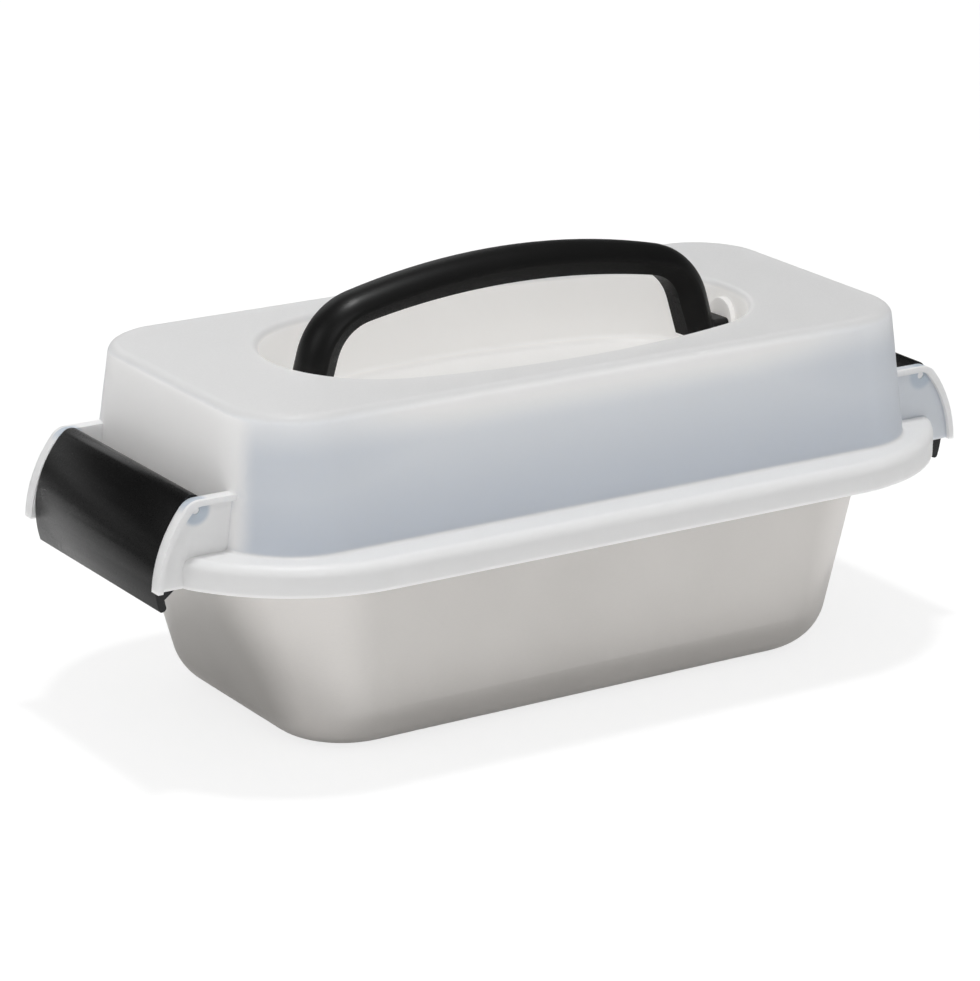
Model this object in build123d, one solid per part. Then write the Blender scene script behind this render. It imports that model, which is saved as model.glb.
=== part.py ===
"""Loaf cake pan with a clip-on carrying lid.

A drawn steel pan with a rolled rim sits under a frosted plastic lid. Two wide latches hang on
steel pins between ears at the ends of the lid and hook under the rim of the pan. A bail handle
stands in an oval well in the top of the lid and folds down into it to either side.

Millimetres. X runs along the pan, Z is up, and the origin is the middle of the pan's base.
"""
from build123d import *

import os
from math import hypot

# Pan: half sizes of the flat base, and how far the walls spread up to the mouth
BASE_HALF_LENGTH = 99.1
BASE_HALF_WIDTH = 51.5
BASE_CORNER = 24.0
WALL_SPREAD_LENGTH = 27.5
WALL_SPREAD_WIDTH = 7.6
MOUTH_END_FLAT = 6.2
PAN_HEIGHT = 68.5
PAN_SHEET = 0.8
BASE_ROUNDING = 17.0
MOUTH_ROUNDING = 2.0
FLANGE_WIDTH = 9.1
BEAD_RADIUS = 2.2

# Skirt of the lid, which wraps the rim
LID_WALL = 2.0
SEAT_GAP = 0.3
SKIRT_CLEARANCE = 0.4
SKIRT_DROP = 7.2
SKIRT_BULGE = 7.2
SKIRT_END_FLAT = 11.8
SKIRT_END_CORNER = 12.0
SHOULDER = 3.4

# Dome of the lid, set in from the skirt by a ledge
LEDGE_LENGTH = 14.9
LEDGE_WIDTH = 11.9
DOME_CORNER = 25.0
DOME_HEIGHT = 41.8
DOME_DRAW_IN_LENGTH = 3.4
DOME_DRAW_IN_WIDTH = 5.5
DOME_DRAW_IN_CORNER = 1.0
TOP_ROUNDING = 3.5
TOE_ROUNDING = 1.2

# Oval well in the top of the lid
WELL_HALF_LENGTH = 85.2
WELL_HALF_WIDTH = 42.0
WELL_END_RADIUS = WELL_HALF_WIDTH * 6 / 7
WELL_DEPTH = 23.8
WELL_DRAFT = 0.5
WELL_RIM_ROUNDING = 2.5
WELL_FLOOR_ROUNDING = 3.0

# Lugs at the ends of the well, which carry the handle
LUG_STANDOFF = 2.3
LUG_HALF_WIDTH = 6.5
LUG_RISE = 10.6
TRUNNION_RADIUS = 2.2
TRUNNION_LENGTH = 2.4

# Carrying handle: outer line, line of the finger space under it, and section
FOLD_GAP = 3.3
FLOOR_GAP = 1.2
FOOT_SETBACK = 0.9
SHOULDER_SETBACK = 11.3
SHOULDER_DROP = 10.5
SHOULDER_RADIUS = 25.0
FINGER_SETBACK = 21.4
FINGER_DROP = 6.2
FINGER_RADIUS = 14.0
GRIP_DEPTH = 11.0
GRIP_TRIM = 0.6
GRIP_CREASE = 5.2
GRIP_HALF_WIDTH = 8.2
GRIP_INNER_HALF_WIDTH = 3.4
GRIP_EDGE = 1.6
TAB_HALF_WIDTH = 5.6
TAB_HALF_HEIGHT = 4.8
TAB_ROUNDING = 1.5
HANDLE_LEAN = 2.0

# Ears at the ends of the lid and the steel pins through them
EAR_INNER_FACE = 38.4
EAR_THICKNESS = 2.2
EAR_LIP_WIDTH = 1.9
EAR_LIP_THICKNESS = 1.8
EAR_RISE = 3.4
EAR_SHOULDER_INSET = 2.7
EAR_REACH = 8.8
EAR_BULGE = 2.6
EAR_SHOULDER_RADIUS = 6.0
PIN_INSET = 5.0
PIN_RISE = 14.1
PIN_RADIUS = 1.2
PIN_RECESS = 0.3

# Latch: a curved plate that hangs from the pin and hooks under the bead
LATCH_SIDE_GAP = 0.5
LATCH_HUB_RADIUS = 4.0
LATCH_PLATE = 2.6
LATCH_LEAN = 45.0
LATCH_CURVE_RADIUS = 33.0
LATCH_CURVE = 63.5
LATCH_FOOT_ROUNDING = 1.1
HOOK_THICKNESS = 2.4
HOOK_PLACE = 0.88
HOOK_GAP = 0.3

# Clearances of the turning fits, and how near two edges count as level
TURNING_FIT = 0.05
SIDE_GAP = 0.3
LEVEL = 0.01

# Pan values that follow
MOUTH_HALF_LENGTH = BASE_HALF_LENGTH + WALL_SPREAD_LENGTH
MOUTH_HALF_WIDTH = BASE_HALF_WIDTH + WALL_SPREAD_WIDTH
MOUTH_CORNER = MOUTH_HALF_WIDTH - MOUTH_END_FLAT
BEAD_HEIGHT = PAN_HEIGHT - BEAD_RADIUS

# Lid values that follow
BEAD_LINE_INSET = LID_WALL + SKIRT_CLEARANCE + BEAD_RADIUS
SKIRT_HALF_LENGTH = MOUTH_HALF_LENGTH + FLANGE_WIDTH + BEAD_LINE_INSET
SKIRT_HALF_WIDTH = MOUTH_HALF_WIDTH + FLANGE_WIDTH + BEAD_LINE_INSET
SKIRT_CORNER = SKIRT_HALF_WIDTH - SKIRT_END_FLAT
LEDGE_UNDERSIDE = PAN_HEIGHT + SEAT_GAP
LEDGE_TOP = LEDGE_UNDERSIDE + LID_WALL
SKIRT_BOTTOM = LEDGE_UNDERSIDE - SKIRT_DROP
DOME_HALF_LENGTH = SKIRT_HALF_LENGTH - LEDGE_LENGTH
DOME_HALF_WIDTH = SKIRT_HALF_WIDTH - LEDGE_WIDTH
LID_TOP = LEDGE_TOP + DOME_HEIGHT
WELL_FLOOR = LID_TOP - WELL_DEPTH
LUG_INNER_FACE = WELL_HALF_LENGTH - LUG_STANDOFF
EAR_OUTER_FACE = EAR_INNER_FACE + EAR_THICKNESS
PIN_X = SKIRT_HALF_LENGTH - PIN_INSET
PIN_HEIGHT = LEDGE_TOP + PIN_RISE

# Handle and latch values that follow
HANDLE_PIVOT = WELL_FLOOR + FLOOR_GAP + GRIP_HALF_WIDTH
HANDLE_TOP = HANDLE_PIVOT + WELL_HALF_WIDTH - FOLD_GAP
HANDLE_FOOT_HALF = LUG_INNER_FACE - FOOT_SETBACK
HANDLE_SHOULDER_HALF = LUG_INNER_FACE - SHOULDER_SETBACK
FINGER_SHOULDER_HALF = LUG_INNER_FACE - FINGER_SETBACK
LATCH_HALF_WIDTH = EAR_INNER_FACE - LATCH_SIDE_GAP


def rounded_block(lower, upper, bottom, top):
    """A block with rounded corners whose half length, half width and corner change with height."""
    faces = []
    for (length, width, corner), height in ((lower, bottom), (upper, top)):
        outline = RectangleRounded(2 * length, 2 * width, corner)
        faces.append(Pos(0, 0, height) * outline)
    return loft(Sketch() + faces, ruled=True)


def rim_outline(inset):
    """Plan of the skirt's outside, drawn in by an inset: bowed corners and flat ends."""
    length = SKIRT_HALF_LENGTH - inset
    bowed = RectangleRounded(
        2 * (length + SKIRT_BULGE),
        2 * (SKIRT_HALF_WIDTH - inset),
        SKIRT_CORNER - inset,
    )
    outline = bowed & Rectangle(2 * length, 4 * SKIRT_HALF_WIDTH)
    ends = outline.vertices().filter_by(lambda v: abs(v.X) > length - LEVEL)
    return fillet(ends, SKIRT_END_CORNER)


def oval(grow, height):
    """An oval face of four tangent arcs, the well's plan at its top made larger by an amount."""
    length = WELL_HALF_LENGTH + grow
    width = WELL_HALF_WIDTH + grow
    end_radius = WELL_END_RADIUS + grow
    end_centre = length - end_radius
    side_radius = (end_centre**2 + width**2 - end_radius**2) / (2 * (width - end_radius))
    side_centre = side_radius - width
    stretch = side_radius / hypot(end_centre, side_centre)
    join_x = end_centre * stretch
    join_y = side_centre * (stretch - 1)
    ends = ThreePointArc((join_x, -join_y), (length, 0), (join_x, join_y))
    ends = ends + ThreePointArc((-join_x, join_y), (-length, 0), (-join_x, -join_y))
    sides = ThreePointArc((join_x, join_y), (0, width), (-join_x, join_y))
    sides = sides + ThreePointArc((-join_x, -join_y), (0, -width), (join_x, -join_y))
    return Pos(0, 0, height) * make_face(ends + sides)


def at_both_ends(shape):
    """The shape and its mirror image at the other end of the pan."""
    return shape + mirror(shape, about=Plane.YZ)


def make_pan():
    """The drawn pan: drafted walls, a flat flange and a rolled bead round it."""
    def body(inset, floor):
        lower = (BASE_HALF_LENGTH - inset, BASE_HALF_WIDTH - inset, BASE_CORNER - inset)
        upper = (MOUTH_HALF_LENGTH - inset, MOUTH_HALF_WIDTH - inset, MOUTH_CORNER - inset)
        block = rounded_block(lower, upper, floor, PAN_HEIGHT)
        return fillet(block.faces().sort_by(Axis.Z)[0].edges(), BASE_ROUNDING - inset)

    flange = extrude(rim_outline(BEAD_LINE_INSET), PAN_SHEET)
    flange = Pos(0, 0, PAN_HEIGHT - PAN_SHEET) * flange
    bead_line = Pos(0, 0, BEAD_HEIGHT) * rim_outline(BEAD_LINE_INSET).face().outer_wire()
    bead_start = Plane(origin=bead_line @ 0, z_dir=bead_line % 0)
    bead = sweep(bead_start * Circle(BEAD_RADIUS), path=bead_line)
    pan = body(0, 0) + flange + bead
    pan = pan - body(PAN_SHEET, PAN_SHEET)
    mouth = pan.faces().filter_by(Axis.Z).sort_by(Axis.Z)[-1].inner_wires()[0].edges()
    return fillet(mouth, MOUTH_ROUNDING)


def make_lid():
    """The frosted lid: skirt, ledge, dome, oval well with its lugs, and ears for the latches."""
    def dome(inset, bottom, top):
        lower = (DOME_HALF_LENGTH - inset, DOME_HALF_WIDTH - inset, DOME_CORNER - inset)
        upper = (
            DOME_HALF_LENGTH - DOME_DRAW_IN_LENGTH - inset,
            DOME_HALF_WIDTH - DOME_DRAW_IN_WIDTH - inset,
            DOME_CORNER - DOME_DRAW_IN_CORNER - inset,
        )
        block = rounded_block(lower, upper, bottom, top)
        return fillet(block.faces().sort_by(Axis.Z)[-1].edges(), TOP_ROUNDING - inset)

    skirt = Pos(0, 0, SKIRT_BOTTOM) * extrude(rim_outline(0), LEDGE_TOP - SKIRT_BOTTOM)
    skirt = fillet(skirt.faces().sort_by(Axis.Z)[-1].edges(), SHOULDER)
    shell = skirt + dome(0, LEDGE_TOP, LID_TOP)
    shell = fillet(edges_at(shell, LEDGE_TOP, DOME_HALF_WIDTH), TOE_ROUNDING)
    shell = shell + make_ears()

    rim_space = extrude(rim_outline(LID_WALL), LEDGE_UNDERSIDE - SKIRT_BOTTOM)
    shell = shell - Pos(0, 0, SKIRT_BOTTOM) * rim_space
    shell = shell - dome(LID_WALL, SKIRT_BOTTOM, LID_TOP - LID_WALL)
    gate = Box(2 * BEAD_LINE_INSET, 2 * EAR_INNER_FACE, LEDGE_UNDERSIDE - SKIRT_BOTTOM)
    gate = Pos(SKIRT_HALF_LENGTH, 0, (LEDGE_UNDERSIDE + SKIRT_BOTTOM) / 2) * gate
    shell = shell - at_both_ends(gate)

    shell = shell + well_block(LID_WALL, WELL_FLOOR - LID_WALL) - well_block(0, WELL_FLOOR)
    shell = fillet(edges_at(shell, LID_TOP, WELL_HALF_WIDTH), WELL_RIM_ROUNDING)
    shell = shell + at_both_ends(make_lug())
    trunnion_bore = Cylinder(TRUNNION_RADIUS + TURNING_FIT, TRUNNION_LENGTH + SIDE_GAP)
    trunnion_bore = Rot(0, 90, 0) * trunnion_bore
    bore_middle = LUG_INNER_FACE + (TRUNNION_LENGTH + SIDE_GAP) / 2
    shell = shell - at_both_ends(Pos(bore_middle, 0, HANDLE_PIVOT) * trunnion_bore)
    pin_bore = pin_cylinder(PIN_RADIUS + TURNING_FIT, EAR_OUTER_FACE + EAR_LIP_WIDTH)
    return shell - at_both_ends(pin_bore)


def edges_at(shape, height, half_width):
    """The level edges at a height that stay within a half width."""
    def fits(edge):
        box = edge.bounding_box()
        level = abs(box.min.Z - height) < LEVEL and abs(box.max.Z - height) < LEVEL
        return level and max(box.max.Y, -box.min.Y) < half_width + LEVEL

    return shape.edges().filter_by(fits)


def well_block(wall, floor):
    """The well's space, or with a wall thickness the block that carries it."""
    faces = [oval(wall - WELL_DRAFT, floor), oval(wall, LID_TOP)]
    block = loft(Sketch() + faces, ruled=True)
    return fillet(block.faces().sort_by(Axis.Z)[0].edges(), WELL_FLOOR_ROUNDING + wall)


def make_lug():
    """The round-topped lug that joins the well's end wall and carries a trunnion."""
    round_centre = HANDLE_PIVOT + LUG_RISE - LUG_HALF_WIDTH
    stem = Pos(0, (WELL_FLOOR + round_centre) / 2) * Rectangle(
        2 * LUG_HALF_WIDTH, round_centre - WELL_FLOOR
    )
    outline = stem + Pos(0, round_centre) * Circle(LUG_HALF_WIDTH)
    depth = WELL_HALF_LENGTH + LID_WALL / 4 - LUG_INNER_FACE
    return extrude(Plane.YZ.offset(LUG_INNER_FACE) * outline, depth)


def make_ears():
    """The four ears: plates that run out of the dome, each with a lip turned outwards."""
    def outline(inset):
        top = PIN_HEIGHT + EAR_RISE - inset
        root = DOME_HALF_LENGTH - DOME_CORNER
        shoulder = (SKIRT_HALF_LENGTH - EAR_SHOULDER_INSET - inset, top)
        foot = (SKIRT_HALF_LENGTH + EAR_REACH - inset, SKIRT_BOTTOM)
        edge = Polyline(foot, (root, SKIRT_BOTTOM), (root, top), shoulder)
        face = make_face(edge + SagittaArc(shoulder, foot, EAR_BULGE))
        outer_corner = face.vertices().sort_by_distance(Vertex(*shoulder, 0))[0]
        return fillet(outer_corner, EAR_SHOULDER_RADIUS - inset)

    plate = extrude(Plane.XZ.offset(EAR_INNER_FACE) * outline(0), EAR_THICKNESS)
    lip = extrude(Plane.XZ.offset(EAR_OUTER_FACE) * outline(0), EAR_LIP_WIDTH)
    lip = lip - extrude(
        Plane.XZ.offset(EAR_OUTER_FACE) * outline(EAR_LIP_THICKNESS), EAR_LIP_WIDTH
    )
    ears = at_both_ends(plate + lip)
    return ears + mirror(ears, about=Plane.XZ)


def pin_cylinder(radius, half_length):
    """A cylinder on the hinge line of the latch at the right-hand end."""
    return Pos(PIN_X, 0, PIN_HEIGHT) * Rot(90, 0, 0) * Cylinder(radius, 2 * half_length)


def make_pin():
    """The steel hinge pin at the right-hand end, a little short of the ears' outer faces."""
    return pin_cylinder(PIN_RADIUS, EAR_OUTER_FACE - PIN_RECESS)


def make_latch():
    """The latch at the right-hand end: hub, curved plate and the hook under the bead."""
    lean = Vector(0, 1).rotate(Axis.Z, 180 + LATCH_LEAN)
    outward = lean.rotate(Axis.Z, 90)

    def plate_line(inset):
        start = Vector(PIN_X, PIN_HEIGHT) + outward * (LATCH_HUB_RADIUS - inset)
        return JernArc(start, lean, LATCH_CURVE_RADIUS - inset, -LATCH_CURVE)

    outer = plate_line(0)
    inner = plate_line(LATCH_PLATE)
    plate = make_face(outer + inner + Line(outer @ 0, inner @ 0) + Line(outer @ 1, inner @ 1))
    plate = fillet(plate.vertices().sort_by(Axis.Y)[:2], LATCH_FOOT_ROUNDING)

    bead = Vector(SKIRT_HALF_LENGTH - BEAD_LINE_INSET, BEAD_HEIGHT)
    root = plate_line(LATCH_PLATE / 2) @ HOOK_PLACE
    strut = (root - bead).normalized()
    tip = bead + strut * (BEAD_RADIUS + HOOK_GAP)
    middle = (root + tip) / 2
    hook = Rectangle((root - tip).length, HOOK_THICKNESS)
    hook = Pos(middle.X, middle.Y) * Rot(0, 0, -strut.get_angle(Vector(1, 0))) * hook

    outline = plate + Pos(PIN_X, PIN_HEIGHT) * Circle(LATCH_HUB_RADIUS) + hook
    body = extrude(Plane.XZ * outline, LATCH_HALF_WIDTH, both=True)
    return body - pin_cylinder(PIN_RADIUS + TURNING_FIT, LATCH_HALF_WIDTH + LATCH_SIDE_GAP)


def arch_line(foot_half, shoulder_half, crown, drop, radius):
    """Two legs and a bowed top between them, with rounded shoulders, in the plane of the arch."""
    foot_height = HANDLE_PIVOT - GRIP_HALF_WIDTH
    left_shoulder = (-shoulder_half, crown - drop)
    right_shoulder = (shoulder_half, crown - drop)
    arch = Line((-foot_half, foot_height), left_shoulder)
    arch = arch + ThreePointArc(left_shoulder, (0, crown), right_shoulder)
    arch = arch + Line(right_shoulder, (foot_half, foot_height))
    shoulders = arch.vertices().filter_by(lambda v: abs(v.Y - crown + drop) < LEVEL)
    return fillet(shoulders, radius)


def grip_section():
    """Section of the grip: a bowed outer face and flanks that draw in towards the fingers."""
    depth = GRIP_DEPTH + GRIP_TRIM
    side = Polyline(
        (-GRIP_CREASE, -GRIP_HALF_WIDTH),
        (-depth, -GRIP_INNER_HALF_WIDTH),
        (-depth, GRIP_INNER_HALF_WIDTH),
        (-GRIP_CREASE, GRIP_HALF_WIDTH),
    )
    crown = ThreePointArc((-GRIP_CREASE, GRIP_HALF_WIDTH), (0, 0), (-GRIP_CREASE, -GRIP_HALF_WIDTH))
    section = make_face(side + crown)
    creases = section.vertices().filter_by(lambda v: abs(v.X + GRIP_CREASE) < LEVEL)
    return fillet(creases, GRIP_EDGE)


def finger_space():
    """The space under the arch, through the handle from front to back."""
    foot_half = HANDLE_FOOT_HALF - GRIP_DEPTH
    crown = HANDLE_TOP - GRIP_DEPTH
    line = arch_line(foot_half, FINGER_SHOULDER_HALF, crown, FINGER_DROP, FINGER_RADIUS)
    outline = make_face(line + Line(line @ 0, line @ 1))
    return extrude(Plane.XZ * outline, 2 * GRIP_HALF_WIDTH, both=True)


def make_handle():
    """The bail handle: arched grip, round feet, and tabs with their trunnions."""
    outer_line = Plane.XZ * arch_line(
        HANDLE_FOOT_HALF, HANDLE_SHOULDER_HALF, HANDLE_TOP, SHOULDER_DROP, SHOULDER_RADIUS
    )
    start = Plane(outer_line @ 0, x_dir=(-1, 0, 0), z_dir=outer_line % 0)
    grip = sweep(start * grip_section(), path=outer_line) - finger_space()

    feet = Box(4 * HANDLE_FOOT_HALF, 4 * GRIP_HALF_WIDTH, 2 * GRIP_HALF_WIDTH)
    feet = Pos(0, 0, HANDLE_PIVOT - GRIP_HALF_WIDTH) * feet
    feet = feet - across_well(GRIP_HALF_WIDTH, 0, 2 * HANDLE_FOOT_HALF)
    grip = grip - at_both_ends(feet)

    tab_end = LUG_INNER_FACE - SIDE_GAP
    tab_start = HANDLE_FOOT_HALF - GRIP_DEPTH / 2
    tab = RectangleRounded(2 * TAB_HALF_WIDTH, 2 * TAB_HALF_HEIGHT, TAB_ROUNDING)
    tab = extrude(Plane.YZ.offset(tab_start) * Pos(0, HANDLE_PIVOT) * tab, tab_end - tab_start)
    trunnion = across_well(TRUNNION_RADIUS, tab_end, LUG_INNER_FACE + TRUNNION_LENGTH)
    handle = grip + at_both_ends(tab + trunnion)
    return handle.rotate(Axis((0, 0, HANDLE_PIVOT), (1, 0, 0)), -HANDLE_LEAN)


def across_well(radius, near, far):
    """A cylinder on the handle's hinge line between two distances from the middle."""
    cylinder = Rot(0, 90, 0) * Cylinder(radius, far - near)
    return Pos((near + far) / 2, 0, HANDLE_PIVOT) * cylinder


def at_left_end(shape):
    """The same piece turned half round to the left-hand end."""
    return Rot(0, 0, 180) * shape


def write_parts():
    """One STEP file for each piece."""
    latch = make_latch()
    pin = make_pin()
    pieces = {
        "pan": make_pan(),
        "lid": make_lid(),
        "carry_handle": make_handle(),
        "latch_right": latch,
        "latch_left": at_left_end(latch),
        "latch_pin_right": pin,
        "latch_pin_left": at_left_end(pin),
    }
    os.makedirs("parts", exist_ok=True)
    for name, piece in pieces.items():
        export_step(piece, f"parts/{name}.step")
        print(name, round(piece.volume / 1000, 1), "cm3")


write_parts()
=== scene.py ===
"""Looks of the loaf cake pan with its clip-on carrying lid.

Metres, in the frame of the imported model: X runs along the pan, Z is up, and the origin is the
middle of the pan's base.
"""

from math import cos, radians, sin

import bpy
from mathutils import Matrix, Vector

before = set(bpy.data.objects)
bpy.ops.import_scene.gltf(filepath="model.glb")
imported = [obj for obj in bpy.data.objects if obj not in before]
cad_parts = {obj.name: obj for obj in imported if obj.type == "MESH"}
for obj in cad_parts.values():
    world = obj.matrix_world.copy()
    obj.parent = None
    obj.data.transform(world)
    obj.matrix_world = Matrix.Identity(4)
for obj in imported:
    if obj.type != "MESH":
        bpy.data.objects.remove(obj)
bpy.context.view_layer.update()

MM = 0.001


def grey(level):
    return (level, level, level, 1.0)


# Camera, solved from the edges of the pan and the lid
PHOTO_HEIGHT_PX = 981
FOCAL_PX = 3994.4
AZIMUTH = radians(-33.506)
ELEVATION = radians(18.319)
ROLL = radians(0.887)
DISTANCE = 1275.0 * MM
AIM = Vector((-4.05, 2.67, 56.47)) * MM
SENSOR = 36.0
NEAREST_SEEN = 10.0 * MM

# Surroundings: the light they give, and how they look in reflections, from the horizon up
STUDIO_GREY = 0.52
HORIZON = 0.40
CEILING = 0.03
CEILING_STARTS = 0.30

# Floor: its colour as it lights the object, its glow in reflections, and both to the eye
FLOOR_HALF = 6.0
FLOOR_COLOUR = 0.86
FLOOR_LIFT = 0.06
SEEN_FLOOR_COLOUR = 0.28
SEEN_FLOOR_LIFT = 0.77

# In reflections the floor darkens with its distance from the object
TABLE_NEAR = 0.25
TABLE_FAR = 0.60
TABLE_FAR_LEVEL = 0.10

# Soft lights: place, width, height and watts
SOFTBOXES = {
    "overhead_light": ((0.0, 0.0, 2.0), 0.2, 0.2, 15.0),
    "front_light": ((-0.35, -1.25, 0.95), 1.1, 0.8, 3.5),
    "left_light": ((-1.3, 0.1, 0.9), 0.7, 0.7, 2.0),
    "back_light": ((0.3, 1.5, 0.9), 1.2, 0.8, 2.5),
}

# Rounding of sharp edges
EDGE_ROUNDING = {
    "lid": 0.5 * MM,
    "carry_handle": 0.4 * MM,
    "latch_right": 0.4 * MM,
    "latch_left": 0.4 * MM,
}
SHARP_ANGLE = radians(38)
ROUNDING_STEPS = 2
SAME_POINT = 0.002 * MM

# Lid sizes that its finish follows
LID_TOP = 112.6 * MM
LEDGE_TOP = 70.8 * MM
SKIRT_BOTTOM = 61.6 * MM
DOME_END = 126.2 * MM
WELL_HALF_LENGTH = 85.2 * MM
WELL_HALF_WIDTH = 42.0 * MM
EAR_ROOT = 122.0 * MM
EAR_INNER_FACE = 38.4 * MM
EAR_OUTER_FACE = 40.6 * MM
LIP_FACE = 42.4 * MM
PIN_X = 135.3 * MM
PIN_HEIGHT = 84.9 * MM

# Stretches over which one region of the lid passes into the next. The well's outline, an oval,
# is measured by the squares of the shares of its half length and half width, added up.
WELL_OUTLINE = (1.35, 1.6)
WELL_LIP = (LID_TOP - 2.5 * MM, LID_TOP - 0.5 * MM)
EAR_PLATE_FACE = EAR_OUTER_FACE + 0.4 * MM
EAR_PLATE = (EAR_PLATE_FACE, EAR_PLATE_FACE + 0.4 * MM)
EAR_SIDE_STARTS = (EAR_INNER_FACE - 0.5 * MM, EAR_INNER_FACE)
EAR_SIDE_ENDS = (LIP_FACE, LIP_FACE + 0.5 * MM)
EAR_STARTS = (EAR_ROOT, EAR_ROOT + 0.5 * MM)
PIN_SURROUND = (3.5 * MM, 5.5 * MM)
DOME_FOOT = (LEDGE_TOP, LEDGE_TOP + 1.6 * MM)
DOME_ENDS = (DOME_END, DOME_END + 1.0 * MM)
DOME_CORNER = (45.0 * MM, 105.0 * MM)
DOME_UPPER_EDGE = (LID_TOP - 14.0 * MM, LID_TOP - 2.0 * MM)
DOME_WALL_HEIGHT = (LEDGE_TOP - 1.0 * MM, LID_TOP - 6.0 * MM)
SKIRT_EDGE = (SKIRT_BOTTOM, SKIRT_BOTTOM + 1.2 * MM)

# The same by how squarely a surface faces along X or Z, from 0 to 1
WELL_FLOOR_FACING = (0.3, 0.95)
DOME_TOP_FACING = (0.2, 0.85)
DOME_END_FACING = (0.8, 0.99)
EAR_ROOT_FACING = (0.5, 0.7)

# Lid colours: neutral where light passes; the rest is painted light and shade: bluish painted shade
# where a dark space or the black latch lies behind, and painted light in the well, under the top
# edge and on the end walls
TOP_DULL = grey(0.76)
TOP_CLEAR = grey(0.80)
WELL_PAINTED_LIGHT = (0.86, 0.855, 0.845, 1.0)
WALL_HIGH_PAINTED_SHADE = (0.84, 0.865, 0.90, 1.0)
WALL_LOW_PAINTED_SHADE = (0.68, 0.72, 0.78, 1.0)
UPPER_EDGE_PAINTED_LIGHT = grey(0.97)
END_WALL_PAINTED_LIGHT = (0.96, 0.95, 0.945, 1.0)
RIM_COLOUR = grey(0.93)
RIGHT_EAR_PAINTED_SHADE = (0.76, 0.79, 0.83, 1.0)
PIN_SURROUND_PAINTED_SHADE = (0.60, 0.66, 0.73, 1.0)

# Painted light: a glow the lid's plastic gives off by region, standing in for the light it gathers
PAINTED_GLOW_COLOUR = (1.0, 0.975, 0.95, 1.0)
WELL_WALL_PAINTED_GLOW = 0.17
WELL_FLOOR_SHARE = 0.1
UPPER_EDGE_PAINTED_GLOW = 0.06
END_WALL_PAINTED_GLOW = 0.07
SKIRT_EDGE_PAINTED_GLOW = 0.12
EVEN_SPREAD = (1.0, 1.0, 1.0)

# Steel: the grain's stretch along each axis, its colours, and how its shade is made up from grain
# marks, a painted highlight on rounded corners and painted shade on faces turned along X
ALONG_WALLS = (1.0, 1.0, 14.0)
ALONG_PIN = (14.0, 1.0, 14.0)
PAN_DARK = (0.51, 0.495, 0.475, 1.0)
PAN_LIGHT = (0.80, 0.775, 0.75, 1.0)
# Pin colours near white: bright steel lightened into a painted highlight, so the pin ends show as
# bright dots
PIN_HIGHLIGHT_DIM = grey(0.86)
PIN_HIGHLIGHT_BRIGHT = grey(0.98)
PIN_METALLIC = 0.3
STEEL_MIDDLE = 0.4
MARKS_SHARE = 0.2
CORNER_HIGHLIGHT_SHARE = 0.4
END_SHADE_SHARE = 0.35
STEEL_CORNER_HIGHLIGHT = (0.15, 0.45)
STEEL_END_SHADE = (0.75, 0.93)

# Textures: cells per metre, depth, and the range that holds most of a noise's values
STEEL_STREAKS = 900.0
STEEL_CLOUDS = 22.0
STEEL_DEPTH = 0.02 * MM
FROST = 1400.0
FROST_DEPTH = 0.01 * MM
LID_CLOUDS = 14.0
HANDLE_PITS = 1500.0
HANDLE_DEPTH = 0.10 * MM
LATCH_GRAIN = 3000.0
LATCH_DEPTH = 0.001 * MM
BLACK_CLOUDS = 60.0
NOISE_RANGE = (0.3, 0.7)
STREAKS_RANGE = (0.25, 0.75)

# Painted sheen: the handle's gloss coat thickens on faces turned upward, so its underside reflects
# less
SHEEN_FACING = (-0.5, 0.6)
SHEEN_BELOW = 0.03
SHEEN_ABOVE = 0.42

# Sockets of a Mix node that mixes colours
MIX_FACTOR, MIX_FIRST, MIX_SECOND = 0, 6, 7
MIX_RESULT = 2


class Wire:
    """A shader socket that can be used in arithmetic."""

    def __init__(self, maker, socket):
        self.maker = maker
        self.socket = socket

    def maths(self, operation, *others):
        values = dict(enumerate((self, *others)))
        return self.maker.node("ShaderNodeMath", {"operation": operation}, values)

    def __add__(self, other):
        return self.maths("ADD", other)

    def __mul__(self, other):
        return self.maths("MULTIPLY", other)

    def __sub__(self, other):
        return self.maths("SUBTRACT", other)

    def __truediv__(self, other):
        return self.maths("DIVIDE", other)

    def __rsub__(self, other):
        return (self * -1.0) + other

    __radd__ = __add__
    __rmul__ = __mul__


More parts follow.
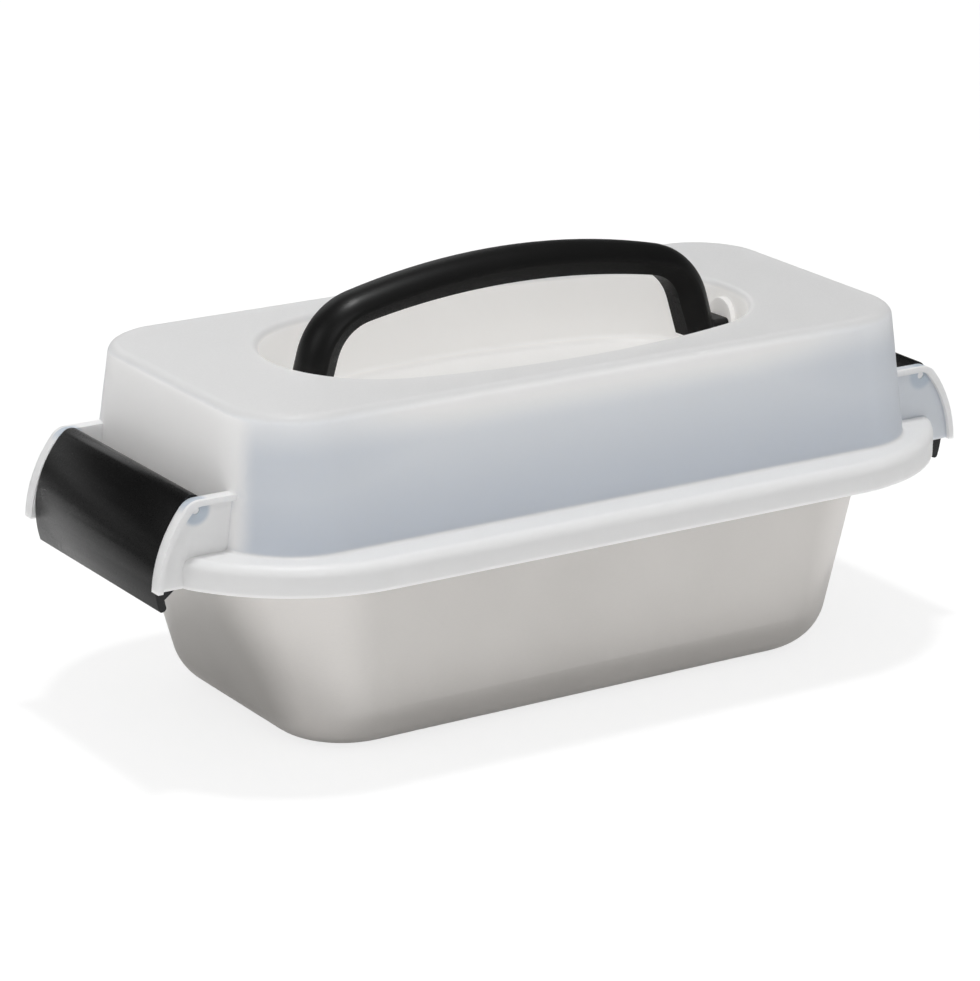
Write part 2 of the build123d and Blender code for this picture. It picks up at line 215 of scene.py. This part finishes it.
class Maker:
    """Builds the nodes of one material, or of the surroundings."""

    def __init__(self, owner):
        self.owner = owner
        self.owner.use_nodes = True
        self.nodes = self.owner.node_tree.nodes
        self.links = self.owner.node_tree.links
        self.nodes.clear()

    def node(self, kind, settings=None, inputs=None, output=0):
        """A node with its settings, then the values or wires of its sockets; gives one output."""
        made = self.nodes.new(kind)
        for name, value in (settings or {}).items():
            setattr(made, name, value)
        for key, value in (inputs or {}).items():
            if isinstance(value, Wire):
                self.links.new(value.socket, made.inputs[key])
            else:
                made.inputs[key].default_value = value
        return Wire(self, made.outputs[output])

    def place(self):
        return self.node("ShaderNodeTexCoord", output="Object")

    def ray(self, name):
        return self.node("ShaderNodeLightPath", output=name)

    def height(self):
        """How steeply a direction of the surroundings points up, from -1 to 1."""
        return self.parts_of(self.node("ShaderNodeTexCoord", output="Generated"))[2]

    def facing(self):
        """The way the surface faces, in the object's own directions."""
        return self.node("ShaderNodeTexCoord", output="Normal")

    def squareness(self):
        """How squarely the surface faces along X, Y and Z, either way, from 0 to 1."""
        return [part.maths("ABSOLUTE") for part in self.parts_of(self.facing())]

    def parts_of(self, vector):
        inputs = {"Vector": vector}
        return [self.node("ShaderNodeSeparateXYZ", None, inputs, axis) for axis in "XYZ"]

    def stretched(self, scale):
        """Object place with each axis multiplied, so that a texture runs along an axis."""
        inputs = {0: self.place(), 1: scale}
        return self.node("ShaderNodeVectorMath", {"operation": "MULTIPLY"}, inputs)

    def noise(self, vector, scale, detail=2.0, roughness=0.5):
        inputs = {"Vector": vector, "Scale": scale, "Detail": detail, "Roughness": roughness}
        return self.node("ShaderNodeTexNoise", None, inputs, "Fac")

    def between(self, value, low, high, start=0.0, end=1.0):
        """A value mapped smoothly from the range low to high onto start to end."""
        settings = {"interpolation_type": "SMOOTHSTEP"}
        inputs = {"Value": value, "From Min": low, "From Max": high, "To Min": start, "To Max": end}
        return self.node("ShaderNodeMapRange", settings, inputs, "Result")

    def fade(self, value, low, high):
        """One below low, nought above high, and smooth between them."""
        return self.between(value, low, high, 1.0, 0.0)

    def blend(self, factor, first, second):
        """A colour between two colours."""
        inputs = {MIX_FACTOR: factor, MIX_FIRST: first, MIX_SECOND: second}
        return self.node("ShaderNodeMix", {"data_type": "RGBA"}, inputs, MIX_RESULT)

    def bump(self, height, depth):
        return self.node("ShaderNodeBump", None, {"Height": height, "Distance": depth})

    def background(self, level):
        """The surroundings' light, joined to their output."""
        shade = self.node("ShaderNodeBackground", None, {"Color": grey(1.0), "Strength": level})
        output = self.nodes.new("ShaderNodeOutputWorld")
        self.links.new(shade.socket, output.inputs["Surface"])

    def finish(self, inputs):
        """The surface shader, joined to the material's output."""
        surface = self.node("ShaderNodeBsdfPrincipled", None, inputs)
        output = self.nodes.new("ShaderNodeOutputMaterial")
        self.links.new(surface.socket, output.inputs["Surface"])
        return self.owner


def satin_steel(name, grain, dark, light, metallic):
    """Satin stainless steel with a fine grain along an axis and faint cloudy marks; a painted
    highlight lightens its rounded corners and painted shade darkens faces turned along X.
    """
    make = Maker(bpy.data.materials.new(name))
    streaks = make.noise(make.stretched(grain), STEEL_STREAKS, detail=4.0, roughness=0.6)
    clouds = make.noise(make.place(), STEEL_CLOUDS)
    facing_x, facing_y, _ = make.squareness()
    # Painted highlight on the rounded corners and painted shade on faces turned along X
    corner = make.between(facing_x * facing_y, *STEEL_CORNER_HIGHLIGHT)
    end = make.between(facing_x, *STEEL_END_SHADE)
    marks = make.between(clouds * 0.5 + streaks * 0.5, *NOISE_RANGE)
    shade = marks * MARKS_SHARE + STEEL_MIDDLE + corner * CORNER_HIGHLIGHT_SHARE - end * END_SHADE_SHARE
    return make.finish({
        "Base Color": make.blend(shade, dark, light),
        "Metallic": metallic,
        "Roughness": make.between(streaks, *STREAKS_RANGE, 0.34, 0.46),
        "Normal": make.bump(streaks, STEEL_DEPTH),
    })


def lid_regions(make):
    """How far a point belongs to each region of the lid, from 0 to 1."""
    x, y, z = make.parts_of(make.place())
    facing_x, _, facing_z = make.squareness()
    from_middle = x.maths("ABSOLUTE")
    from_axis = y.maths("ABSOLUTE")

    along = x / WELL_HALF_LENGTH
    across = y / WELL_HALF_WIDTH
    outside_well = make.between(along * along + across * across, *WELL_OUTLINE)
    well = make.fade(z, *WELL_LIP) * (1.0 - outside_well)

    ear_side = make.between(from_axis, *EAR_SIDE_STARTS) * make.fade(from_axis, *EAR_SIDE_ENDS)
    ear_root = ear_side * make.fade(facing_x, *EAR_ROOT_FACING)
    ear_root = ear_root * make.between(from_middle, *EAR_STARTS)
    beyond_dome = make.between(from_middle, *DOME_ENDS).maths("MAXIMUM", ear_root)
    ear = beyond_dome * make.fade(from_axis, *EAR_PLATE)
    from_pin_x = from_middle - PIN_X
    from_pin_z = z - PIN_HEIGHT
    from_pin = (from_pin_x * from_pin_x + from_pin_z * from_pin_z).maths("SQRT")

    dome = make.between(z, *DOME_FOOT) * (1.0 - beyond_dome)
    corner = make.between(from_middle, *DOME_CORNER)
    low = make.fade(z, *DOME_WALL_HEIGHT)
    return {
        "well": well,
        "well_wall": well * make.between(facing_z, *WELL_FLOOR_FACING, 1.0, WELL_FLOOR_SHARE),
        "dome": dome,
        "dome_wall": dome * outside_well * make.fade(facing_z, *DOME_TOP_FACING),
        # How much painted shade the long walls take: more low down and towards their ends
        "wall_shade": low.maths("MAXIMUM", corner * 0.5),
        "upper_edge": make.between(z, *DOME_UPPER_EDGE) * (1.0 - corner * 0.5),
        "end_wall": make.between(facing_x, *DOME_END_FACING),
        "right_ear": ear * make.between(x, 0.0, DOME_END),
        "pin_surround": ear * make.fade(from_pin, *PIN_SURROUND),
        "skirt_edge": make.fade(z, *SKIRT_EDGE),
    }


def lid_colour(make, region):
    """The lid's colour: bluish painted shade where a dark space or the latch lies behind, and
    painted light in the well, under the top edge and on the end walls.
    """
    clouds = make.noise(make.place(), LID_CLOUDS)
    top = make.blend(clouds, TOP_DULL, TOP_CLEAR)
    # Bluish painted shade of the dark space behind the long walls
    long_wall = make.blend(region["wall_shade"], WALL_HIGH_PAINTED_SHADE, WALL_LOW_PAINTED_SHADE)
    # Painted light under the top edge of the long walls
    long_wall = make.blend(region["upper_edge"], long_wall, UPPER_EDGE_PAINTED_LIGHT)
    # Painted light on the end walls, lightened for the light falling on them from the left
    walls = make.blend(region["end_wall"], long_wall, END_WALL_PAINTED_LIGHT)
    # Painted shade on the right ear, where the black latch lies behind the plastic
    rim = make.blend(region["right_ear"], RIM_COLOUR, RIGHT_EAR_PAINTED_SHADE)
    # Painted shade round each pin, where the latch's hub shows through the ear
    rim = make.blend(region["pin_surround"], rim, PIN_SURROUND_PAINTED_SHADE)
    # Painted light in the well, lighter than the top
    colour = make.blend(region["dome"], rim, make.blend(region["well"], top, WELL_PAINTED_LIGHT))
    return make.blend(region["dome_wall"], colour, walls)


def painted_lid_glow(make, region):
    """Painted light: a glow in the well and along the lid's edges, standing in for the light the
    lid gathers.
    """
    of_walls = region["upper_edge"] * UPPER_EDGE_PAINTED_GLOW + region["end_wall"] * END_WALL_PAINTED_GLOW
    glow = region["well_wall"] * WELL_WALL_PAINTED_GLOW + region["dome_wall"] * of_walls
    glow = glow + region["skirt_edge"] * SKIRT_EDGE_PAINTED_GLOW
    return make.blend(glow, grey(0.0), PAINTED_GLOW_COLOUR)


def frosted_plastic():
    """Milky moulded plastic with a fine frosted surface; its colour holds painted shade and painted
    light, and its glow is painted light.
    """
    make = Maker(bpy.data.materials.new("frosted_plastic"))
    region = lid_regions(make)
    grain = make.noise(make.place(), FROST)
    return make.finish({
        "Base Color": lid_colour(make, region),
        "Roughness": make.between(grain, *NOISE_RANGE, 0.38, 0.48),
        "IOR": 1.45,
        "Transmission Weight": 0.20,
        "Subsurface Weight": 1.0,
        "Subsurface Radius": EVEN_SPREAD,
        "Subsurface Scale": 1.0 * MM,
        # Painted light: the lid glows in its well and along its edges, though it is no lamp
        "Emission Color": painted_lid_glow(make, region),
        "Emission Strength": 1.0,
        "Normal": make.bump(grain, FROST_DEPTH),
    })


def textured_black():
    """Black moulded plastic, finely textured, with a painted sheen: a gloss coat thicker on faces
    turned upward.
    """
    make = Maker(bpy.data.materials.new("handle_black"))
    pits = make.noise(make.place(), HANDLE_PITS, detail=3.0, roughness=0.6)
    clouds = make.noise(make.place(), BLACK_CLOUDS)
    upward = make.parts_of(make.facing())[2]
    return make.finish({
        "Base Color": make.blend(clouds, grey(0.005), grey(0.009)),
        "Roughness": make.between(pits, *NOISE_RANGE, 0.40, 0.54),
        "Specular IOR Level": 0.06,
        # Painted sheen: more gloss coat on faces turned upward
        "Coat Weight": make.between(upward, *SHEEN_FACING, SHEEN_BELOW, SHEEN_ABOVE),
        "Coat Roughness": 0.35,
        "Normal": make.bump(pits, HANDLE_DEPTH),
    })


def satin_black():
    """Black moulded plastic with a smooth satin surface."""
    make = Maker(bpy.data.materials.new("latch_black"))
    grain = make.noise(make.place(), LATCH_GRAIN)
    clouds = make.noise(make.place(), BLACK_CLOUDS)
    return make.finish({
        "Base Color": make.blend(clouds, grey(0.004), grey(0.007)),
        "Roughness": make.between(grain, *NOISE_RANGE, 0.27, 0.30),
        "Specular IOR Level": 0.40,
        "Normal": make.bump(grain, LATCH_DEPTH),
    })


def floor_finish():
    """A plain pale floor: white to the eye with its soft shadow kept, and darker in reflections."""
    make = Maker(bpy.data.materials.new("studio_floor"))
    eye = make.ray("Is Camera Ray")
    reflected = make.ray("Is Glossy Ray").maths("MAXIMUM", make.ray("Is Transmission Ray"))
    length = {"operation": "LENGTH"}
    distance = make.node("ShaderNodeVectorMath", length, {0: make.place()}, "Value")
    table = make.between(distance, TABLE_NEAR, TABLE_FAR, 1.0, TABLE_FAR_LEVEL)
    lift = make.blend(reflected * table, grey(0.0), grey(FLOOR_LIFT))
    colour = make.blend(reflected * (1.0 - table), grey(FLOOR_COLOUR), grey(0.0))
    return make.finish({
        "Base Color": make.blend(eye, colour, grey(SEEN_FLOOR_COLOUR)),
        "Roughness": 1.0,
        "Specular IOR Level": 0.0,
        "Emission Color": make.blend(eye, lift, grey(SEEN_FLOOR_LIFT)),
        "Emission Strength": 1.0,
    })


def set_camera():
    """The camera at the photograph's view."""
    right = Vector((cos(AZIMUTH), sin(AZIMUTH), 0.0))
    back = Vector((sin(AZIMUTH) * cos(ELEVATION), -cos(AZIMUTH) * cos(ELEVATION), sin(ELEVATION)))
    up = back.cross(right)
    across = right * cos(ROLL) + up * sin(ROLL)
    upright = up * cos(ROLL) - right * sin(ROLL)
    camera = bpy.data.objects.new("camera", bpy.data.cameras.new("camera"))
    camera.data.lens = FOCAL_PX / PHOTO_HEIGHT_PX * SENSOR
    camera.data.sensor_width = SENSOR
    camera.data.clip_start = NEAREST_SEEN
    place = Matrix((across, upright, back)).transposed().to_4x4()
    place.translation = AIM + back * DISTANCE
    camera.matrix_world = place
    bpy.context.scene.collection.objects.link(camera)
    bpy.context.scene.camera = camera


def set_surroundings():
    """Surroundings that are white to the eye, grey as a light, and darker in reflections."""
    world = bpy.data.worlds.new("studio")
    bpy.context.scene.world = world
    make = Maker(world)
    seen = make.ray("Is Camera Ray").maths("MAXIMUM", make.ray("Is Transmission Ray"))
    cove = make.between(make.height(), 0.0, CEILING_STARTS, HORIZON, CEILING)
    reflected = make.ray("Is Glossy Ray") * (cove - STUDIO_GREY)
    make.background(seen.maths("MAXIMUM", reflected + STUDIO_GREY))


def hang_softbox(name, place, width, height, watts):
    """A soft light that faces the middle of the object."""
    light = bpy.data.lights.new(name, "AREA")
    light.shape = "RECTANGLE"
    light.size = width
    light.size_y = height
    light.energy = watts
    lamp = bpy.data.objects.new(name, light)
    lamp.location = place
    lamp.rotation_euler = (AIM - lamp.location).to_track_quat("-Z", "Y").to_euler()
    bpy.context.scene.collection.objects.link(lamp)


def lay_floor():
    """One flat square under the object."""
    mesh = bpy.data.meshes.new("floor")
    half = FLOOR_HALF
    corners = [(-half, -half, 0), (half, -half, 0), (half, half, 0), (-half, half, 0)]
    mesh.from_pydata(corners, [], [(0, 1, 2, 3)])
    mesh.materials.append(floor_finish())
    floor = bpy.data.objects.new("floor", mesh)
    bpy.context.scene.collection.objects.link(floor)


def give(node, material):
    """The material on every slot of a CAD node."""
    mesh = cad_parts[node].data
    if not mesh.materials:
        mesh.materials.append(material)
    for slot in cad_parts[node].material_slots:
        slot.material = material


def soften(node, width):
    """Rounds the sharp edges of a CAD node a little."""
    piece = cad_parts[node]
    weld = piece.modifiers.new("weld", "WELD")
    weld.merge_threshold = SAME_POINT
    bevel = piece.modifiers.new("edge_rounding", "BEVEL")
    bevel.width = width
    bevel.segments = ROUNDING_STEPS
    bevel.limit_method = "ANGLE"
    bevel.angle_limit = SHARP_ANGLE
    bevel.harden_normals = True


def dress():
    """Rounded edges on the lid, handle and latches, and a finish for every piece."""
    for node, width in EDGE_ROUNDING.items():
        soften(node, width)
    give("pan", satin_steel("pan_steel", ALONG_WALLS, PAN_DARK, PAN_LIGHT, 1.0))
    give("lid", frosted_plastic())
    give("carry_handle", textured_black())
    latch_black = satin_black()
    pin_steel = satin_steel("pin_steel", ALONG_PIN, PIN_HIGHLIGHT_DIM, PIN_HIGHLIGHT_BRIGHT, PIN_METALLIC)
    for side in ("right", "left"):
        give(f"latch_{side}", latch_black)
        give(f"latch_pin_{side}", pin_steel)


bpy.context.scene.view_settings.view_transform = "Standard"
set_camera()
set_surroundings()
for name, measures in SOFTBOXES.items():
    hang_softbox(name, *measures)
lay_floor()
dress()
